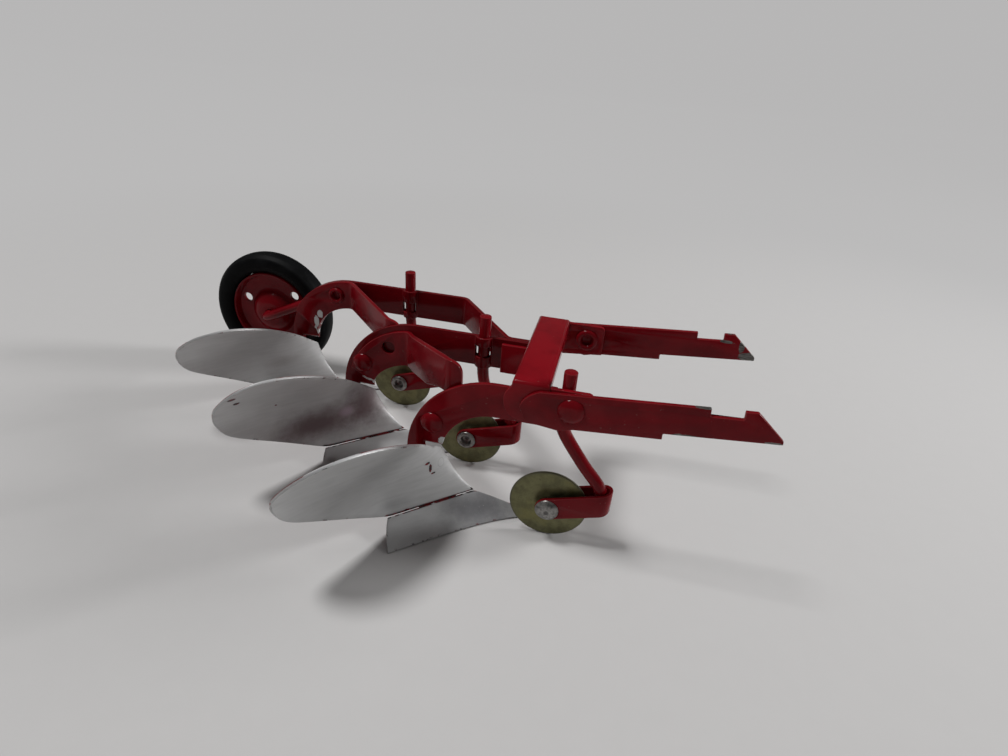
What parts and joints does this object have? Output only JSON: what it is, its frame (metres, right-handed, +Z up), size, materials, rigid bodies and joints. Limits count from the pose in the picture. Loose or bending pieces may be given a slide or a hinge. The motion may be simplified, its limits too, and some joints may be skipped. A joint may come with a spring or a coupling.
{
  "type": "toy moldboard plough",
  "caption": "Small pressed-steel toy plough: staggered moldboard bottoms on sheet beams, disc coulters, a rubber-tyred tail wheel and a two-prong hitch.",
  "frame": {"origin": "middle of the object's box, on the ground", "axes": "+X forward, towards the hitch; +Y the plough's left; +Z up"},
  "size_m": [0.2016, 0.1148, 0.0544],
  "materials": {
    "red_paint": "glossy red enamel over pressed sheet steel, worn through at the prongs",
    "silver_paint": "satin aluminium paint over red, chipped at the edges",
    "zinc_plate": "dull yellow passivated zinc plate",
    "bare_steel": "dull nickel-coloured rolled rivet",
    "tyre": "smooth black rubber"
  },
  "bodies": {
    "frame": {"axle_rivet": "red_paint", "beam_left": "red_paint", "beam_middle": "red_paint", "beam_right": "red_paint", "brace_front": "red_paint", "brace_rear": "red_paint", "centre_plate": "red_paint", "coulter_axle_left": "bare_steel", "coulter_axle_middle": "bare_steel", "coulter_axle_right": "bare_steel", "coulter_fork_left": "red_paint", "coulter_fork_middle": "red_paint", "coulter_fork_right": "red_paint", "coulter_stem_left": "red_paint", "coulter_stem_middle": "red_paint", "coulter_stem_right": "red_paint", "frog_left": "red_paint", "frog_middle": "red_paint", "frog_right": "red_paint", "hitch_bracket": "red_paint", "hitch_rivet_left": "red_paint", "hitch_rivet_right": "red_paint", "landside_left": "red_paint", "landside_middle": "red_paint", "landside_right": "red_paint", "moldboard_left": "silver_paint", "moldboard_middle": "silver_paint", "moldboard_right": "silver_paint", "neck_rivet_middle": "red_paint", "neck_rivet_right": "red_paint", "share_left": "silver_paint", "share_middle": "silver_paint", "share_right": "silver_paint", "tail_axle": "red_paint"},
    "tail_wheel": {"tail_wheel": "red_paint", "tail_tyre": "tyre"},
    "coulter_disc_right": {"coulter_disc_right": "zinc_plate"},
    "coulter_disc_middle": {"coulter_disc_middle": "zinc_plate"},
    "coulter_disc_left": {"coulter_disc_left": "zinc_plate"},
    "hitch_prong_right": {"hitch_prong_right": "red_paint"},
    "hitch_prong_left": {"hitch_prong_left": "red_paint"}
  },
  "joints": [
    {"name": "tail_wheel_spin", "type": "hinge", "parent": "frame", "child": "tail_wheel", "pos_m": [-0.07676, 0.05266, 0.024], "axis": [0, 1, 0], "continuous": true},
    {"name": "disc_spin_right", "type": "hinge", "parent": "frame", "child": "coulter_disc_right", "pos_m": [0.04739, -0.01659, 0.0112], "axis": [0, 1, 0], "continuous": true},
    {"name": "disc_spin_middle", "type": "hinge", "parent": "frame", "child": "coulter_disc_middle", "pos_m": [0.01684, 0.00946, 0.0112], "axis": [0, 1, 0], "continuous": true},
    {"name": "disc_spin_left", "type": "hinge", "parent": "frame", "child": "coulter_disc_left", "pos_m": [-0.01665, 0.03666, 0.0112], "axis": [0, 1, 0], "continuous": true},
    {"name": "prong_tilt_right", "type": "hinge", "parent": "frame", "child": "hitch_prong_right", "pos_m": [0.05024, -0.02046, 0.0455], "axis": [0, 1, 0], "range_deg": [-12, 20]},
    {"name": "prong_tilt_left", "type": "hinge", "parent": "frame", "child": "hitch_prong_left", "pos_m": [0.05024, 0.02476, 0.0455], "axis": [0, 1, 0], "range_deg": [-12, 20]}
  ]
}
